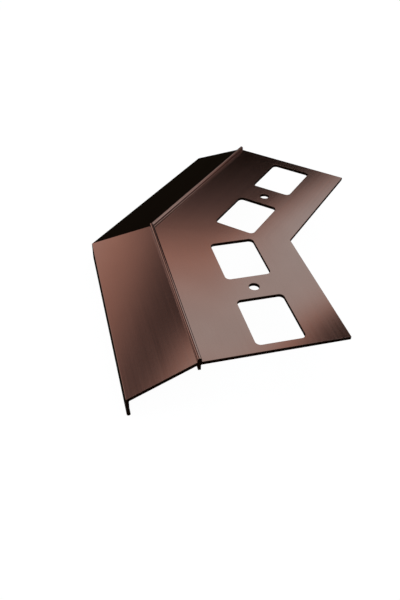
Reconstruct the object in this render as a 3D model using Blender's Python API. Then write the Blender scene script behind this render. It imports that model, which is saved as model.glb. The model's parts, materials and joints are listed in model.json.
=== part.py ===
"""Outside 135 degree corner piece of a balcony edge profile with a drip lip.

Two mitred lengths of one extruded aluminium section meet in the plane Y = 0. Each has a
perforated flange that is bedded under the tiles, a round-nosed rib with a short leg below
it, an apron that slopes outward, and a vertical drip lip. Three welds on the hidden side
of the mitre hold the two lengths together: one fills a groove in the flange's underside,
flush with it, and two lie as beads under the apron and behind the lip.

Frame: metres, +Z up. The origin is on the mitre plane, at the foot of the rib's outer
side, level with the flange's underside. +X runs along the mitre towards the flange's
inner corner. The near arm runs towards -Y and the far arm towards +Y.
"""

import math

import bmesh
import bpy
from mathutils import Matrix, Vector

# ---------------------------------------------------------------- driving dimensions
CORNER_ANGLE = math.radians(135.0)  # between the two arms, on the flange's side
NEAR_ARM = 0.1040  # from the rib's corner to the square-cut end, along the rib
FAR_ARM = 0.1060
MITRE_GAP = 0.0003  # between the two cut faces

SHEET = 0.0018  # wall of the flange and the apron
FLANGE_WIDTH = 0.0700  # from the rib's outer side to the flange's free edge
RIB_WIDTH = 0.0020
RIB_RISE = 0.0022  # above the flange's top
LEG_WIDTH = 0.0013
LEG_DROP = 0.0030  # below the flange's underside

APRON_LENGTH = 0.0350  # down the slope, on the outer face
APRON_SLOPE = math.radians(26.5)  # below the horizontal
APRON_EDGE_RADIUS = 0.0006  # where the apron turns down into the lip
LIP_HEIGHT = 0.0107
LIP_WALL = 0.0014
DRIP_WALL = 0.0018  # the lip thickens inward to this at its foot
DRIP_HEIGHT = 0.0040  # length of the thickened foot

# Square holes and screw holes lie along the flange. Distances along an arm start at the
# rib's corner, and distances across it start at the rib's outer side.
HOLE_LENGTH = 0.0305
HOLE_WIDTH = 0.0233
HOLE_RADIUS = 0.0025
HOLE_INSET = 0.0275  # to the side of the hole that is nearest the rib
FIRST_HOLE = 0.0232  # to the first hole's end
HOLE_PITCH = 0.0463
SCREW_HOLE_DIAMETER = 0.0053

GROOVE_DEPTH = 0.0010  # of the weld groove in the flange's underside, with 45 degree sides
BEAD_WIDTH = 0.0036
BEAD_DEPTH = 0.0011  # of the weld metal below its shoulders
WELD_CLEARANCE = 0.0003  # between weld metal and sheet
WELD_END_SPACE = 0.0010  # from a weld's end to the next wall

ARC_STEP = math.radians(15.0)
CIRCLE_SIDES = 32

# ---------------------------------------------------------------- derived dimensions
MITRE_LEAN = math.pi / 2 - CORNER_ANGLE / 2  # between an arm and the Y axis
FLANGE_TOP = SHEET
APRON_RUN = APRON_LENGTH * math.cos(APRON_SLOPE)
APRON_FOOT = FLANGE_TOP - APRON_LENGTH * math.sin(APRON_SLOPE)
APRON_UNDERSIDE = FLANGE_TOP - SHEET / math.cos(APRON_SLOPE)  # height at the rib
LIP_FOOT = APRON_FOOT - LIP_HEIGHT
LEG_START = (RIB_WIDTH - LEG_WIDTH) / 2
LEG_END = LEG_START + LEG_WIDTH
LIP_INSIDE = -APRON_RUN + LIP_WALL
MITRE_STRETCH = 1 / math.cos(MITRE_LEAN)  # of distances across an arm, on the mitre plane

COATING = (0.120, 0.042, 0.026, 1.0)
WELD_COATING = (0.085, 0.032, 0.021, 1.0)


# ---------------------------------------------------------------- small tools
def clear_scene():
    for obj in list(bpy.data.objects):
        bpy.data.objects.remove(obj)


def principled(name, colour, metallic, roughness):
    material = bpy.data.materials.new(name)
    material.use_nodes = True
    shader = material.node_tree.nodes["Principled BSDF"]
    shader.inputs["Base Color"].default_value = colour
    shader.inputs["Metallic"].default_value = metallic
    shader.inputs["Roughness"].default_value = roughness
    return material


def arc(centre, radius, start, end):
    """Points from angle start to angle end, about centre, with both ends."""
    steps = max(2, math.ceil(abs(end - start) / ARC_STEP))
    points = []
    for i in range(steps + 1):
        angle = start + (end - start) * i / steps
        points.append(Vector((
            centre[0] + radius * math.cos(angle),
            centre[1] + radius * math.sin(angle),
        )))
    return points


def loft(bm, rings):
    """Skins a list of vertex rings and caps both ends. Adds the faces to bm."""
    made = [[bm.verts.new(point) for point in ring] for ring in rings]
    for first, second in zip(made, made[1:]):
        for i in range(len(first)):
            j = (i + 1) % len(first)
            bm.faces.new((first[i], first[j], second[j], second[i]))
    bm.faces.new(made[0])
    bm.faces.new(made[-1])
    bmesh.ops.recalc_face_normals(bm, faces=bm.faces)


def solid(name, rings, material):
    """A closed object lofted through rings of points."""
    bm = bmesh.new()
    loft(bm, rings)
    mesh = bpy.data.meshes.new(name)
    bm.to_mesh(mesh)
    bm.free()
    mesh.shade_smooth()
    mesh.set_sharp_from_angle(angle=math.radians(35.0))
    obj = bpy.data.objects.new(name, mesh)
    bpy.context.scene.collection.objects.link(obj)
    if material:
        mesh.materials.append(material)
    return obj


# ---------------------------------------------------------------- the extruded section
def apron_underside(across):
    """Height of the apron's underside at a distance across (negative outward)."""
    return APRON_UNDERSIDE + across * math.tan(APRON_SLOPE)


def section():
    """Outline of the extrusion as (across, height), from the flange's free edge."""
    nose = RIB_WIDTH / 2
    nose_centre = (nose, FLANGE_TOP + RIB_RISE - nose)
    edge = APRON_EDGE_RADIUS
    turn = math.pi / 2 - APRON_SLOPE
    edge_setback = edge * math.tan(turn / 2)
    edge_centre = (-APRON_RUN + edge, APRON_FOOT - edge_setback)
    foot = DRIP_WALL / 2
    foot_centre = (-APRON_RUN + foot, LIP_FOOT + foot)
    outline = [(FLANGE_WIDTH, 0.0), (FLANGE_WIDTH, FLANGE_TOP), (RIB_WIDTH, FLANGE_TOP)]
    outline += arc(nose_centre, nose, 0.0, math.pi)
    outline += [(0.0, FLANGE_TOP)]
    outline += arc(edge_centre, edge, math.pi - turn, math.pi)
    outline += arc(foot_centre, foot, math.pi, 2 * math.pi)
    outline += [
        (LIP_INSIDE, LIP_FOOT + DRIP_HEIGHT),
        (LIP_INSIDE, apron_underside(LIP_INSIDE)),
        (LEG_START, apron_underside(LEG_START)),
        (LEG_START, -LEG_DROP),
        (LEG_END, -LEG_DROP),
        (LEG_END, 0.0),
    ]
    return [Vector(point) for point in outline]


# ---------------------------------------------------------------- holes
def hole_centres():
    """(across, along) of the two square holes and of the screw hole between them."""
    across = HOLE_INSET + HOLE_WIDTH / 2
    first = FIRST_HOLE + HOLE_LENGTH / 2
    squares = [Vector((across, first)), Vector((across, first + HOLE_PITCH))]
    return squares, Vector((across, first + HOLE_PITCH / 2))


def square_hole(centre):
    """Rounded rectangle around centre."""
    half = Vector((HOLE_WIDTH / 2 - HOLE_RADIUS, HOLE_LENGTH / 2 - HOLE_RADIUS))
    outline = []
    for quarter, (x, y) in enumerate(((1, 1), (-1, 1), (-1, -1), (1, -1))):
        start = quarter * math.pi / 2
        corner = centre + Vector((x * half.x, y * half.y))
        outline += arc(corner, HOLE_RADIUS, start, start + math.pi / 2)
    return outline


def screw_hole(centre):
    outline = []
    for i in range(CIRCLE_SIDES):
        angle = 2 * math.pi * i / CIRCLE_SIDES
        spoke = Vector((math.cos(angle), math.sin(angle)))
        outline.append(centre + spoke * SCREW_HOLE_DIAMETER / 2)
    return outline


def cut(body, name, rings):
    """Cuts the solid lofted through rings, given in the body's own axes, out of a body."""
    cutter = solid(name, rings, None)
    cutter.parent = body
    cutter.hide_render = True
    cutter.display_type = "WIRE"
    boolean = body.modifiers.new(name, "BOOLEAN")
    boolean.operation = "DIFFERENCE"
    boolean.object = cutter
    boolean.solver = "EXACT"


def through_flange(outline, side):
    """Rings of a prism through the flange, from an outline given as (across, along)."""
    rings = []
    for height in (-SHEET, 3 * SHEET):
        rings.append([Vector((point.x, side * point.y, height)) for point in outline])
    return rings


def groove(start, end, half_width, height):
    """Rings of a 45 degree wedge along the mitre, point up, with its base at height."""
    rings = []
    for x in (start, end):
        rings.append([
            Vector((x, -half_width, height)),
            Vector((x, half_width, height)),
            Vector((x, 0.0, height + half_width)),
        ])
    return rings


# ---------------------------------------------------------------- the arms
def mitre_cut(across):
    """Distance along the arm at which the mitre face crosses a line of the section."""
    return across * math.tan(MITRE_LEAN) + MITRE_GAP / 2 / math.cos(MITRE_LEAN)


def arm(name, side, length, material):
    """One mitred length. side is -1 for the near arm and +1 for the far arm.

    The mesh has X across the arm and Y along it; the object's rotation leans it.
    """
    outline = section()
    mitred = [Vector((p.x, side * mitre_cut(p.x), p.y)) for p in outline]
    squared = [Vector((p.x, side * length, p.y)) for p in outline]
    body = solid(name, [mitred, squared], material)
    body.rotation_euler.z = -side * MITRE_LEAN
    squares, screw = hole_centres()
    for number, centre in enumerate(squares, start=1):
        cut(body, f"{name}_square_hole_{number}", through_flange(square_hole(centre), side))
    cut(body, f"{name}_screw_hole", through_flange(screw_hole(screw), side))
    start = (LEG_END + WELD_END_SPACE) * MITRE_STRETCH
    end = (FLANGE_WIDTH + SHEET) * MITRE_STRETCH
    to_arm = Matrix.Rotation(side * MITRE_LEAN, 3, "Z")
    wedge = groove(start, end, GROOVE_DEPTH + SHEET, -SHEET)
    cut(body, f"{name}_weld_groove", [[to_arm @ point for point in ring] for ring in wedge])


# ---------------------------------------------------------------- the welds
def bead(name, start, end, slope, material):
    """Weld bead along the mitre from start to end, both (across, height) on the sheet.

    slope is the wall's angle below the horizontal. The two walls meet at a shallow angle
    under the bead, and its roof follows them.
    """
    first = Vector((start[0] * MITRE_STRETCH, 0.0, start[1]))
    last = Vector((end[0] * MITRE_STRETCH, 0.0, end[1]))
    along = (last - first).normalized()
    sideways = Vector((0.0, 1.0, 0.0))
    to_sheet = sideways.cross(along)
    lean = math.sin(slope) * math.sin(MITRE_LEAN)
    roof_fall = BEAD_WIDTH / 2 * lean / math.sqrt(1 - lean * lean)
    half = BEAD_WIDTH / 2
    belly = [(half, -roof_fall)]
    steps = 8
    for i in range(1, steps):
        angle = math.pi * i / steps
        belly.append((half * math.cos(angle), -roof_fall - BEAD_DEPTH * math.sin(angle)))
    belly.append((-half, -roof_fall))
    profile = belly + [(0.0, 0.0)]
    rings = []
    for point in (first, last):
        base = point - to_sheet * WELD_CLEARANCE
        rings.append([base + sideways * y + to_sheet * h for y, h in profile])
    return solid(name, rings, material)


def welds(material):
    """The flush weld in the flange's groove, and the beads under the apron and the lip."""
    groove_start = (LEG_END + 2 * WELD_END_SPACE) * MITRE_STRETCH
    groove_end = (FLANGE_WIDTH - WELD_END_SPACE) * MITRE_STRETCH
    half_width = GROOVE_DEPTH - WELD_CLEARANCE * math.sqrt(2)
    solid("flange_weld", groove(groove_start, groove_end, half_width, 0.0), material)
    apron_top = LEG_START - WELD_END_SPACE
    apron_end = LIP_INSIDE + BEAD_WIDTH
    bead(
        "apron_weld",
        (apron_top, apron_underside(apron_top)),
        (apron_end, apron_underside(apron_end)),
        APRON_SLOPE,
        material,
    )
    lip_top = apron_underside(LIP_INSIDE) - BEAD_WIDTH / 2
    bead(
        "lip_weld",
        (LIP_INSIDE, lip_top),
        (LIP_INSIDE, LIP_FOOT + DRIP_HEIGHT),
        math.pi / 2,
        material,
    )


def main():
    clear_scene()
    coating = principled("coated_aluminium", COATING, 0.6, 0.35)
    weld_coating = principled("coated_weld", WELD_COATING, 0.5, 0.5)
    arm("near_arm", -1, NEAR_ARM, coating)
    arm("far_arm", 1, FAR_ARM, coating)
    welds(weld_coating)


main()
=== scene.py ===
"""Looks of an outside 135 degree corner piece of a balcony edge profile with a drip lip.

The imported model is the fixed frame. Its two mitred arms and three welds are stood for by
finer meshes with the same section, holes and places: rounded extrusion corners, broken
edges at the saw cuts and punched holes, and rippled weld metal. The finish is a metallic
red-brown coating.

Metres, +Z up. The origin is on the mitre plane Y = 0, at the foot of the rib's outer side,
level with the flange's underside. +X runs along the mitre over the flange, the near arm
runs towards -Y and the far arm towards +Y.
"""

import json
import math

import bmesh
import bpy
from mathutils import Matrix, Vector


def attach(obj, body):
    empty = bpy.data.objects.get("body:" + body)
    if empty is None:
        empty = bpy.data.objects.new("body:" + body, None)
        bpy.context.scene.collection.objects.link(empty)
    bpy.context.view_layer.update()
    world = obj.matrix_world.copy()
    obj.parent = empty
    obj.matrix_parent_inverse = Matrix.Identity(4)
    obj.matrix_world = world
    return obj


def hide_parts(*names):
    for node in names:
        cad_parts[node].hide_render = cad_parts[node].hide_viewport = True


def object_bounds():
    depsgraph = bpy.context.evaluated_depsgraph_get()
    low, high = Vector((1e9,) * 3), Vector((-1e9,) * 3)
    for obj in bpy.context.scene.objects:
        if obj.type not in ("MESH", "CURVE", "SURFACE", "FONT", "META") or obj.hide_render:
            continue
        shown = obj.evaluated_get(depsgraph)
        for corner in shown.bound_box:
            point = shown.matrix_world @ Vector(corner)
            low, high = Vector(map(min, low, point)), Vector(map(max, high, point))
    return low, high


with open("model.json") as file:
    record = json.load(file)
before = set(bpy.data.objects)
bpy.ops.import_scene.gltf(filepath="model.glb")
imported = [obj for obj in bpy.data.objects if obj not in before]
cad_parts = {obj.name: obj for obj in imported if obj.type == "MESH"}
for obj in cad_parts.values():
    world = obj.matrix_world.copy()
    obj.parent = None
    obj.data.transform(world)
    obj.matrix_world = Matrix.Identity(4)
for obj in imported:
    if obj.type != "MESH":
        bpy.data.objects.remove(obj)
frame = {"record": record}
cad_low, cad_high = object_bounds()

MOUNTS = {mount["name"]: mount for mount in frame["record"]["mounts"]}

# ---------------------------------------------------------------- sizes from the frame
SHEET = MOUNTS["near_tile_face"]["pos_m"][2]  # wall of the flange and the apron
RIB_TOP = cad_high.z
LIP_FOOT = cad_low.z

# ---------------------------------------------------------------- the section, as in the CAD
MITRE_LEAN = math.radians(22.5)  # between an arm and the Y axis
FLANGE_WIDTH = 0.0700  # from the rib's outer side to the flange's free edge
RIB_WIDTH = 0.0020
LEG_WIDTH = 0.0013
LEG_DROP = 0.0030
APRON_LENGTH = 0.0350  # down the slope, on the outer face
APRON_SLOPE = math.radians(26.5)
LIP_WALL = 0.0014
DRIP_WALL = 0.0018
DRIP_HEIGHT = 0.0040
HOLE_LENGTH = 0.0305
HOLE_WIDTH = 0.0233
HOLE_RADIUS = 0.0025
HOLE_INSET = 0.0275
FIRST_HOLE = 0.0232
HOLE_PITCH = 0.0463
SCREW_HOLE_DIAMETER = 0.0053
GROOVE_DEPTH = 0.0010
BEAD_WIDTH = 0.0036
BEAD_DEPTH = 0.0011
WELD_END_SPACE = 0.0010

APRON_RUN = APRON_LENGTH * math.cos(APRON_SLOPE)
APRON_FOOT = SHEET - APRON_LENGTH * math.sin(APRON_SLOPE)
APRON_UNDERSIDE = SHEET - SHEET / math.cos(APRON_SLOPE)
LEG_START = (RIB_WIDTH - LEG_WIDTH) / 2
LEG_END = LEG_START + LEG_WIDTH
LIP_INSIDE = -APRON_RUN + LIP_WALL
MITRE_STRETCH = 1 / math.cos(MITRE_LEAN)

# ---------------------------------------------------------------- fine shape
EXTRUDED_CORNER = 0.0002  # radius of the section's outer corners
INNER_FILLET = 0.0003
LIP_FILLET = 0.0006
APRON_EDGE_RADIUS = 0.0006
CUT_EDGE = 0.00005  # broken edge at the saw cuts and round the holes
ARC_STEP = math.radians(9.0)
CIRCLE_SIDES = 64
SPARE = 0.0030  # of an arm beyond the mitre plane, before it is trimmed
ON_PLANE = 1e-8  # points nearer to the mitre plane than this lie on it
HOLE_CUT = (-SHEET, 3 * SHEET)  # heights between which a hole is cut
SEAM_GAP = 0.00002  # between weld metal and sheet
SAME_POINT = SEAM_GAP / 4  # outline points closer than this are one point
EDGE_STEPS = 3  # across a broken edge
SQUARE_EDGE = math.radians(60)  # edges that turn by more than this were sawn or punched
ARM_CREASE = math.radians(40)  # edges that turn by more than this stay sharp
WELD_CREASE = math.radians(50)

RIPPLE_PITCH = 0.00085
RIPPLE_SHARE = 0.16  # of the bead's depth
RIPPLE_ROUNDNESS = 0.7  # power of the sine wave; under 1 fills the crests out
BEAD_STEPS = 14  # across a bead
BEAD_STATIONS = 6  # along each ripple of a bead
SEAM_STATIONS = 5  # along each ripple of the flush weld
BEAD_TIP = 0.25  # of its full size, where a bead starts and stops


# ---------------------------------------------------------------- small tools
def rounded(corners):
    """Outline through (x, y, radius) corners, each rounded by its own arc."""
    outline = []
    count = len(corners)
    for i, (x, y, radius) in enumerate(corners):
        here = Vector((x, y))
        if radius == 0:
            outline.append(here)
            continue
        before = (Vector(corners[i - 1][:2]) - here).normalized()
        after = (Vector(corners[(i + 1) % count][:2]) - here).normalized()
        opening = before.angle(after)
        reach = radius / math.tan(opening / 2)
        centre = here + (before + after).normalized() * radius / math.sin(opening / 2)
        first = here + before * reach - centre
        last = here + after * reach - centre
        turn = first.angle_signed(last)
        steps = max(2, math.ceil(abs(turn) / ARC_STEP))
        for step in range(steps + 1):
            outline.append(centre + Matrix.Rotation(-turn * step / steps, 2) @ first)
    kept = []
    for point in outline:
        if not kept or (point - kept[-1]).length > SAME_POINT:
            kept.append(point)
    return kept


def lofted(name, rings):
    """Object skinned over a list of point rings and capped at both ends."""
    bm = bmesh.new()
    made = [[bm.verts.new(point) for point in ring] for ring in rings]
    for first, second in zip(made, made[1:]):
        for i in range(len(first)):
            j = (i + 1) % len(first)
            bm.faces.new((first[i], first[j], second[j], second[i]))
    bm.faces.new(made[0])
    bm.faces.new(made[-1])
    bmesh.ops.recalc_face_normals(bm, faces=bm.faces)
    mesh = bpy.data.meshes.new(name)
    bm.to_mesh(mesh)
    bm.free()
    obj = bpy.data.objects.new(name, mesh)
    bpy.context.scene.collection.objects.link(obj)
    return obj


def smooth(obj, sharp_angle):
    """Shades smooth, with flat faces kept flat and edges over an angle kept sharp."""
    obj.data.shade_smooth()
    obj.data.set_sharp_from_angle(angle=sharp_angle)
    weighting = obj.modifiers.new("flat_faces_lead", "WEIGHTED_NORMAL")
    weighting.keep_sharp = True


# ---------------------------------------------------------------- the extruded section
def apron_underside(across):
    """Height of the apron's underside at a distance across (negative outward)."""
    return APRON_UNDERSIDE + across * math.tan(APRON_SLOPE)


def section():
    """Outline of the extrusion as (across, height), from the flange's free edge."""
    corner = EXTRUDED_CORNER
    fillet = INNER_FILLET
    nose = RIB_WIDTH / 2
    foot = DRIP_WALL / 2
    drip_inside = -APRON_RUN + DRIP_WALL
    return rounded([
        (FLANGE_WIDTH, 0.0, corner),
        (FLANGE_WIDTH, SHEET, corner),
        (RIB_WIDTH, SHEET, fillet),
        (RIB_WIDTH, RIB_TOP, nose),
        (0.0, RIB_TOP, nose),
        (0.0, SHEET, fillet),
        (-APRON_RUN, APRON_FOOT, APRON_EDGE_RADIUS),
        (-APRON_RUN, LIP_FOOT, foot),
        (drip_inside, LIP_FOOT, foot),
        (drip_inside, LIP_FOOT + foot, 0.0),
        (LIP_INSIDE, LIP_FOOT + DRIP_HEIGHT, LIP_WALL),
        (LIP_INSIDE, apron_underside(LIP_INSIDE), LIP_FILLET),
        (LEG_START, apron_underside(LEG_START), fillet),
        (LEG_START, -LEG_DROP, corner),
        (LEG_END, -LEG_DROP, corner),
        (LEG_END, 0.0, fillet),
    ])


# ---------------------------------------------------------------- holes and groove
def hole_outlines():
    """Outlines, as (across, along), of the two square holes and the screw hole."""
    across = HOLE_INSET + HOLE_WIDTH / 2
    first = FIRST_HOLE + HOLE_LENGTH / 2
    outlines = []
    for middle in (first, first + HOLE_PITCH):
        sides = []
        for x, y in ((1, 1), (-1, 1), (-1, -1), (1, -1)):
            corner_x = across + x * HOLE_WIDTH / 2
            corner_y = middle + y * HOLE_LENGTH / 2
            sides.append((corner_x, corner_y, HOLE_RADIUS))
        outlines.append(rounded(sides))
    screw = []
    for i in range(CIRCLE_SIDES):
        angle = 2 * math.pi * i / CIRCLE_SIDES
        screw.append(Vector((
            across + SCREW_HOLE_DIAMETER / 2 * math.cos(angle),
            first + HOLE_PITCH / 2 + SCREW_HOLE_DIAMETER / 2 * math.sin(angle),
        )))
    outlines.append(screw)
    return outlines


def groove_rings(side):
    """Wedge for the weld groove under the mitre, in the arm's own axes."""
    to_arm = Matrix.Rotation(side * MITRE_LEAN, 3, "Z")
    half_width = GROOVE_DEPTH + SHEET
    rings = []
    for across in (LEG_END + WELD_END_SPACE, FLANGE_WIDTH + SHEET):
        x = across * MITRE_STRETCH
        rings.append([
            to_arm @ Vector((x, -half_width, -SHEET)),
            to_arm @ Vector((x, half_width, -SHEET)),
            to_arm @ Vector((x, 0.0, GROOVE_DEPTH)),
        ])
    return rings


def arm_cutters(name, side):
    """The bodies that cut an arm's weld groove and its holes."""
    cutters = [lofted(name + "_groove", groove_rings(side))]
    for number, hole in enumerate(hole_outlines()):
        rings = []
        for height in HOLE_CUT:
            rings.append([Vector((p.x, side * p.y, height)) for p in hole])
        cutters.append(lofted(f"{name}_hole_{number}", rings))
    return cutters


# ---------------------------------------------------------------- the arms
def cut_arm(body, cutters):
    """Cuts the cutters out of the body, keeps the result as its mesh and removes them."""
    for cutter in cutters:
        boolean = body.modifiers.new(cutter.name, "BOOLEAN")
        boolean.object = cutter
        boolean.operation = "DIFFERENCE"
        boolean.solver = "EXACT"
    depsgraph = bpy.context.evaluated_depsgraph_get()
    cut_mesh = bpy.data.meshes.new_from_object(body.evaluated_get(depsgraph))
    body.modifiers.clear()
    body.data = cut_mesh
    for cutter in cutters:
        bpy.data.objects.remove(cutter)


def break_edges(bm, mitre_normal):
    """Rounds the square edges left by the saw and the punch, away from the mitre."""
    square = []
    for edge in bm.edges:
        if len(edge.link_faces) != 2 or edge.calc_face_angle() < SQUARE_EDGE:
            continue
        if all(vert.co.dot(mitre_normal) < SPARE for vert in edge.verts):
            continue
        square.append(edge)
    bmesh.ops.bevel(
        bm,
        geom=square,
        offset=CUT_EDGE,
        offset_type="OFFSET",
        segments=EDGE_STEPS,
        profile=0.5,
        affect="EDGES",
    )


def trim_at_mitre(body, side):
    """Breaks the cut edges, then cuts the arm at the mitre plane and closes it there."""
    mitre_normal = Matrix.Rotation(side * MITRE_LEAN, 3, "Z") @ Vector((0.0, side, 0.0))
    bm = bmesh.new()
    bm.from_mesh(body.data)
    break_edges(bm, mitre_normal)
    whole = bm.verts[:] + bm.edges[:] + bm.faces[:]
    trimmed = bmesh.ops.bisect_plane(
        bm,
        geom=whole,
        dist=ON_PLANE,
        plane_co=(0.0, 0.0, 0.0),
        plane_no=mitre_normal,
        clear_inner=True,
    )
    rim = [part for part in trimmed["geom_cut"] if isinstance(part, bmesh.types.BMEdge)]
    bmesh.ops.holes_fill(bm, edges=rim)
    bmesh.ops.recalc_face_normals(bm, faces=bm.faces)
    bm.to_mesh(body.data)
    bm.free()


def arm(name, node, joint_end, side, coating):
    """One arm in its own axes, X across and Y along; side is -1 near and +1 far."""
    mount = MOUNTS[joint_end]
    length = Vector(mount["pos_m"]).dot(Vector(mount["axis"]))
    outline = section()
    lean = math.tan(MITRE_LEAN)
    beyond = [Vector((p.x, side * (p.x * lean - SPARE), p.y)) for p in outline]
    squared = [Vector((p.x, side * length, p.y)) for p in outline]
    body = lofted(name, [beyond, squared])
    cut_arm(body, arm_cutters(name, side))
    trim_at_mitre(body, side)
    smooth(body, ARM_CREASE)
    body.data.materials.clear()
    body.data.materials.append(coating)
    body.rotation_euler.z = -side * MITRE_LEAN
    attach(body, "root")
    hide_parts(node)


# ---------------------------------------------------------------- the welds
def ripple(distance, share_across):
    """Height, 0 to 1, of the crescent ripples along a weld."""
    crescent = (1 - share_across * share_across) * RIPPLE_PITCH
    phase = (distance + crescent) / RIPPLE_PITCH
    return abs(math.sin(math.pi * phase)) ** RIPPLE_ROUNDNESS


def finish_weld(weld, node, coating):
    """Shades a weld, coats it and gives it its place in the model."""
    smooth(weld, WELD_CREASE)
    weld.data.materials.append(coating)
    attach(weld, "root")
    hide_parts(node)


def bead(name, node, start, end, slope, coating):
    """Weld bead along the mitre from start to end, both (across, height) on the sheet."""
    first = Vector((start[0] * MITRE_STRETCH, 0.0, start[1]))
    last = Vector((end[0] * MITRE_STRETCH, 0.0, end[1]))
    along = (last - first).normalized()
    length = (last - first).length
    sideways = Vector((0.0, 1.0, 0.0))
    to_sheet = sideways.cross(along)
    lean = math.sin(slope) * math.sin(MITRE_LEAN)
    roof_slope = lean / math.sqrt(1 - lean * lean)
    stations = math.ceil(length / RIPPLE_PITCH * BEAD_STATIONS)
    rings = []
    for i in range(stations + 1):
        distance = length * i / stations
        from_end = min(distance, length - distance)
        rise = min(1.0, from_end / (BEAD_WIDTH / 2))
        swell = BEAD_TIP + (1 - BEAD_TIP) * math.sqrt(1 - (1 - rise) ** 2)
        half = BEAD_WIDTH / 2 * swell
        roof_fall = half * roof_slope
        base = first + along * distance - to_sheet * SEAM_GAP
        ring = [base]
        for step in range(BEAD_STEPS + 1):
            angle = math.pi * step / BEAD_STEPS
            share = math.cos(angle)
            height = 1 - RIPPLE_SHARE + RIPPLE_SHARE * ripple(distance, share)
            depth = BEAD_DEPTH * swell * height * math.sin(angle)
            ring.append(base + sideways * half * share - to_sheet * (roof_fall + depth))
        rings.append(ring)
    finish_weld(lofted(name, rings), node, coating)


def flush_weld(name, node, coating):
    """Weld metal that fills the groove in the flange's underside, dressed nearly flush."""
    start = (LEG_END + WELD_END_SPACE) * MITRE_STRETCH + SEAM_GAP
    end = FLANGE_WIDTH * MITRE_STRETCH - EXTRUDED_CORNER
    half = GROOVE_DEPTH - SEAM_GAP
    stations = math.ceil((end - start) / RIPPLE_PITCH * SEAM_STATIONS)
    rings = []
    for i in range(stations + 1):
        distance = (end - start) * i / stations
        x = start + distance
        ring = [Vector((x, 0.0, half))]
        for step in range(BEAD_STEPS + 1):
            share = 1 - 2 * step / BEAD_STEPS
            hollow = RIPPLE_SHARE * half * (1 - ripple(distance, share)) * (1 - abs(share))
            ring.append(Vector((x, half * share, hollow)))
        rings.append(ring)
    finish_weld(lofted(name, rings), node, coating)


def welds(coating):
    """The weld under the flange, the one under the apron and the one behind the lip."""
    flush_weld("flange_weld_seam", "flange_weld", coating)
    apron_top = LEG_START - WELD_END_SPACE
    apron_end = LIP_INSIDE + BEAD_WIDTH
    bead(
        "apron_weld_bead",
        "apron_weld",
        (apron_top, apron_underside(apron_top)),
        (apron_end, apron_underside(apron_end)),
        APRON_SLOPE,
        coating,
    )
    lip_top = apron_underside(LIP_INSIDE) - BEAD_WIDTH / 2
    bead(
        "lip_weld_bead",
        "lip_weld",
        (LIP_INSIDE, lip_top),
        (LIP_INSIDE, LIP_FOOT + DRIP_HEIGHT),
        math.pi / 2,
        coating,
    )


# ---------------------------------------------------------------- finishes
# the two colours that a coating drifts between, its range of roughness, the strength of its relief
BROWN_COLOURS = ((0.26, 0.143, 0.114, 1), (0.28, 0.157, 0.126, 1))
BROWN_ROUGHNESS = (0.10, 0.13)
BROWN_RELIEF = 0.15
WELD_COLOURS = ((0.20, 0.11, 0.085, 1), (0.26, 0.15, 0.12, 1))
WELD_ROUGHNESS = (0.34, 0.42)
WELD_RELIEF = 0.6

EVEN = (1, 1, 1)  # stretch of a noise that has no direction
ALONG_ARM = (1, 0.01, 1)  # stretch of the extrusion lines
DRIFT_NOISE = (35, 3)  # scale and detail of the drifting colour
LINE_NOISE = (1400, 2)
PEEL_NOISE = (900, 2)
NOISE_LOW = 0.3  # noise values that give one end of a range and the other
NOISE_HIGH = 0.7
LINE_DEPTH = 0.000004
PEEL_DEPTH = 0.000010
LACQUER_WEIGHT = 0.15
LACQUER_ROUGHNESS = 0.08


def new_material(name):
    """Empty material, its node tree and its shader."""
    material = bpy.data.materials.new(name)
    material.use_nodes = True
    return material, material.node_tree, material.node_tree.nodes["Principled BSDF"]


def noise(tree, coordinates, stretch, scale, detail):
    """Noise over the piece's own axes. stretch scales each axis."""
    mapping = tree.nodes.new("ShaderNodeMapping")
    mapping.inputs["Scale"].default_value = stretch
    tree.links.new(coordinates, mapping.inputs["Vector"])
    texture = tree.nodes.new("ShaderNodeTexNoise")
    texture.inputs["Scale"].default_value = scale
    texture.inputs["Detail"].default_value = detail
    tree.links.new(mapping.outputs["Vector"], texture.inputs["Vector"])
    return texture.outputs["Fac"]


def ramp(tree, value, low, high):
    """Maps a noise value between two colours."""
    node = tree.nodes.new("ShaderNodeValToRGB")
    node.color_ramp.elements[0].position = NOISE_LOW
    node.color_ramp.elements[0].color = low
    node.color_ramp.elements[1].position = NOISE_HIGH
    node.color_ramp.elements[1].color = high
    tree.links.new(value, node.inputs["Fac"])
    return node.outputs["Color"]


def spread(tree, value, low, high):
    """Maps a noise value between two numbers."""
    node = tree.nodes.new("ShaderNodeMapRange")
    node.inputs["From Min"].default_value = NOISE_LOW
    node.inputs["From Max"].default_value = NOISE_HIGH
    node.inputs["To Min"].default_value = low
    node.inputs["To Max"].default_value = high
    tree.links.new(value, node.inputs["Value"])
    return node.outputs["Result"]


def bump(tree, height, strength, distance, under=None):
    """Relief of a given depth, laid over the relief under it if there is one."""
    node = tree.nodes.new("ShaderNodeBump")
    node.inputs["Strength"].default_value = strength
    node.inputs["Distance"].default_value = distance
    tree.links.new(height, node.inputs["Height"])
    if under:
        tree.links.new(under, node.inputs["Normal"])
    return node.outputs["Normal"]


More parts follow.
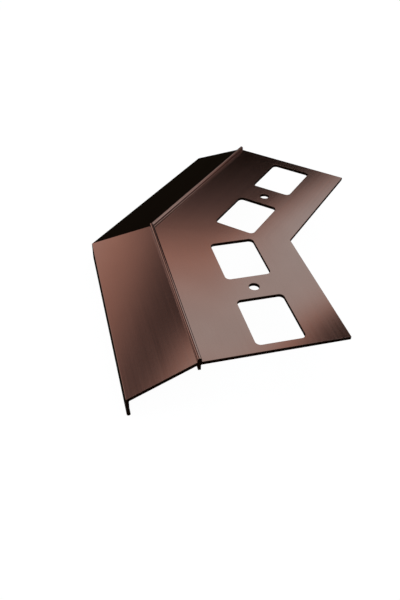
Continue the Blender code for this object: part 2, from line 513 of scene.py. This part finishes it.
def coated(name, colours, roughness, relief):
    """Metallic lacquer: drifting colour, faint extrusion lines and orange peel."""
    material, tree, shader = new_material(name)
    coordinates = tree.nodes.new("ShaderNodeTexCoord").outputs["Object"]
    drift = noise(tree, coordinates, EVEN, *DRIFT_NOISE)
    tree.links.new(ramp(tree, drift, *colours), shader.inputs["Base Color"])
    lines = noise(tree, coordinates, ALONG_ARM, *LINE_NOISE)
    tree.links.new(spread(tree, lines, *roughness), shader.inputs["Roughness"])
    peel = noise(tree, coordinates, EVEN, *PEEL_NOISE)
    drawn = bump(tree, lines, relief, LINE_DEPTH)
    peeled = bump(tree, peel, relief, PEEL_DEPTH, drawn)
    tree.links.new(peeled, shader.inputs["Normal"])
    shader.inputs["Metallic"].default_value = 1.0
    shader.inputs["Coat Weight"].default_value = LACQUER_WEIGHT
    shader.inputs["Coat Roughness"].default_value = LACQUER_ROUGHNESS
    return material


# ---------------------------------------------------------------- studio
# Each softbox: azimuth and elevation of its middle, its width, height and tilt, the softness of
# its side edges and of its top and bottom edges, all in degrees, and its level.
SOFTBOXES = (
    # mirrored towards the camera
    (25, 20, 53, 11, 47, (9, 1.7), 1.0),  # long strip behind, seen in both flanges
    (-7, 44, 18, 16, 0, (6, 9), 1.0),  # soft square above it, seen in the near flange
    (-71, 13, 60, 30, -5, (12, 9), 0.73),  # low one on the left, seen in the near apron
    (-66, 39, 20, 10, -9, (4, 3.5), 1.0),  # small one above it
    (46, 48, 41, 20, 0, (4, 4), 1.0),  # high on the right, seen in the far rib
    (71, 8, 20, 50, 0, (4, 5), 1.0),  # and the one to its right
    (52, 28, 22, 16, 0, (5, 5), 0.22),  # dimmer one between them
    # a ring that lights the sides that face away
    (-103, 27, 32, 38, 6, (6, 8), 1.0),
    (-148, 26, 34, 38, -8, (7, 8), 1.0),
    (168, 28, 34, 38, 8, (7, 8), 1.0),
    (122, 27, 32, 38, -6, (7, 8), 1.0),
    (84, 25, 22, 34, 6, (6, 8), 0.9),
    # overhead
    (160, 60, 34, 20, 14, (7, 7), 1.0),
    (62, 65, 30, 18, -16, (7, 7), 0.9),
    (0, 88, 40, 26, 20, (9, 8), 0.9),
    # from below the horizon
    (0, -88, 56, 56, 0, (9, 9), 0.7),
    (-116, -16, 74, 14, 0, (9, 6), 0.45),
    (90, -14, 80, 12, 0, (10, 6), 0.4),
    (180, -14, 60, 12, 0, (10, 6), 0.4),
)
FRONT_DEPTH = 0.001  # least depth towards a softbox; it puts all that lies behind far outside

# colour of a softbox from its dark surround over its warm rim to its cool middle
GLOW = (
    (0.0, (0.007, 0.006, 0.004)),
    (0.25, (0.130, 0.115, 0.117)),
    (0.60, (0.650, 0.485, 0.425)),
    (1.0, (0.700, 0.910, 1.000)),
)
GLOW_STRENGTH = 1.5
WHITE = (1.0, 1.0, 1.0, 1.0)


def towards(azimuth, elevation):
    """Unit vector; azimuth from +Y towards +X, elevation above the horizon, in degrees."""
    a = math.radians(azimuth)
    e = math.radians(elevation)
    return Vector((math.sin(a) * math.cos(e), math.cos(a) * math.cos(e), math.sin(e)))


def dot(tree, direction, vector):
    """Share of a direction along a fixed vector."""
    node = tree.nodes.new("ShaderNodeVectorMath")
    node.operation = "DOT_PRODUCT"
    tree.links.new(direction, node.inputs[0])
    node.inputs[1].default_value = vector
    return node.outputs["Value"]


def maths(tree, operation, first, second=None):
    """One math node; each operand is a number or another node's output."""
    node = tree.nodes.new("ShaderNodeMath")
    node.operation = operation
    for socket, value in zip(node.inputs, (first, second)):
        if isinstance(value, (int, float)):
            socket.default_value = value
        elif value is not None:
            tree.links.new(value, socket)
    return node.outputs[0]


def edge_fade(tree, value, half, softness):
    """1 inside half, 0 outside it, with a smooth edge; half and softness in degrees."""
    inner = math.tan(math.radians(half))
    edge = math.tan(math.radians(softness))
    node = tree.nodes.new("ShaderNodeMapRange")
    node.interpolation_type = "SMOOTHSTEP"
    node.inputs["From Min"].default_value = inner + edge
    node.inputs["From Max"].default_value = inner - edge
    tree.links.new(maths(tree, "ABSOLUTE", value), node.inputs["Value"])
    return node.outputs["Result"]


def softbox(tree, direction, azimuth, elevation, width, height, tilt, edges, level):
    """How strongly one distant softbox lights a direction, from 0 to level."""
    facing = towards(azimuth, elevation)
    sideways = Vector((0.0, 0.0, 1.0)).cross(facing).normalized()
    turn = Matrix.Rotation(math.radians(tilt), 3, facing)
    across = turn @ sideways
    upward = turn @ facing.cross(sideways)
    depth = dot(tree, direction, facing)
    front = maths(tree, "MAXIMUM", depth, FRONT_DEPTH)
    x = maths(tree, "DIVIDE", dot(tree, direction, across), front)
    y = maths(tree, "DIVIDE", dot(tree, direction, upward), front)
    side_edge, top_edge = edges
    fade_x = edge_fade(tree, x, width / 2, side_edge)
    fade_y = edge_fade(tree, y, height / 2, top_edge)
    return maths(tree, "MULTIPLY", maths(tree, "MULTIPLY", fade_x, fade_y), level)


def studio():
    """Dark room with softboxes, seen as plain white by the camera."""
    world = bpy.data.worlds.new("studio")
    bpy.context.scene.world = world
    world.use_nodes = True
    tree = world.node_tree
    tree.nodes.clear()
    direction = tree.nodes.new("ShaderNodeTexCoord").outputs["Generated"]
    total = 0.0
    for box in SOFTBOXES:
        total = maths(tree, "ADD", softbox(tree, direction, *box), total)
    glow = tree.nodes.new("ShaderNodeValToRGB")
    stops = glow.color_ramp.elements
    while len(stops) < len(GLOW):
        stops.new(1.0)
    for stop, (position, colour) in zip(stops, GLOW):
        stop.position = position
        stop.color = (*colour, 1.0)
    tree.links.new(total, glow.inputs["Fac"])
    room = tree.nodes.new("ShaderNodeBackground")
    room.inputs["Strength"].default_value = GLOW_STRENGTH
    tree.links.new(glow.outputs["Color"], room.inputs["Color"])
    sweep = tree.nodes.new("ShaderNodeBackground")
    sweep.inputs["Color"].default_value = WHITE
    choose = tree.nodes.new("ShaderNodeMixShader")
    path = tree.nodes.new("ShaderNodeLightPath")
    tree.links.new(path.outputs["Is Camera Ray"], choose.inputs["Fac"])
    tree.links.new(room.outputs["Background"], choose.inputs[1])
    tree.links.new(sweep.outputs["Background"], choose.inputs[2])
    output = tree.nodes.new("ShaderNodeOutputWorld")
    tree.links.new(choose.outputs["Shader"], output.inputs["Surface"])


# ---------------------------------------------------------------- floor
FLOOR_SIZE = 6.0
FLOOR_COLOUR = (0.06, 0.06, 0.06, 1.0)  # dark, because its own glow makes it white
FLOOR_ROUGHNESS = 0.9
FLOOR_GLOW = 0.97


def floor():
    """White sweep that the lip's foot touches; no shadow shows on it and no metal mirrors it."""
    bpy.ops.mesh.primitive_plane_add(size=FLOOR_SIZE, location=(0.0, 0.0, LIP_FOOT))
    obj = bpy.context.active_object
    obj.name = "floor"
    material, _, shader = new_material("white_sweep")
    shader.inputs["Base Color"].default_value = FLOOR_COLOUR
    shader.inputs["Roughness"].default_value = FLOOR_ROUGHNESS
    shader.inputs["Specular IOR Level"].default_value = 0.0
    shader.inputs["Emission Color"].default_value = WHITE
    shader.inputs["Emission Strength"].default_value = FLOOR_GLOW
    obj.data.materials.append(material)
    obj.visible_glossy = False
    obj.visible_diffuse = False


# ---------------------------------------------------------------- camera
CAMERA_PLACE = (0.06134, -0.27825, 0.19515)
CAMERA_TURN = math.radians(9.205)  # about Z, from looking along +Y
CAMERA_DIP = math.radians(39.329)  # below the horizon
CAMERA_ROLL = math.radians(0.243)
CAMERA_LENS = 37.757  # millimetres, on a sensor 36 wide
CAMERA_SENSOR = 36.0
CAMERA_SHIFT = (0.03497, -0.02843)
CAMERA_RANGE = (0.01, 50.0)


def camera():
    """Looks down at the corner from beyond the near arm's cut end."""
    data = bpy.data.cameras.new("camera")
    data.lens = CAMERA_LENS
    data.sensor_width = CAMERA_SENSOR
    data.shift_x, data.shift_y = CAMERA_SHIFT
    data.clip_start, data.clip_end = CAMERA_RANGE
    obj = bpy.data.objects.new("camera", data)
    bpy.context.scene.collection.objects.link(obj)
    aim = Matrix.Rotation(CAMERA_TURN, 4, "Z")
    aim @= Matrix.Rotation(math.pi / 2 - CAMERA_DIP, 4, "X")
    aim @= Matrix.Rotation(CAMERA_ROLL, 4, "Z")
    obj.matrix_world = Matrix.Translation(CAMERA_PLACE) @ aim
    bpy.context.scene.camera = obj
    bpy.context.view_layer.update()


# ---------------------------------------------------------------- the scene
camera()
studio()
floor()

brown = coated("coated_aluminium", BROWN_COLOURS, BROWN_ROUGHNESS, BROWN_RELIEF)
weld_brown = coated("coated_weld", WELD_COLOURS, WELD_ROUGHNESS, WELD_RELIEF)
arm("near_arm_profile", "near_arm", "near_joint_end", -1, brown)
arm("far_arm_profile", "far_arm", "far_joint_end", 1, brown)
welds(weld_brown)

bpy.context.scene.view_settings.view_transform = "Standard"
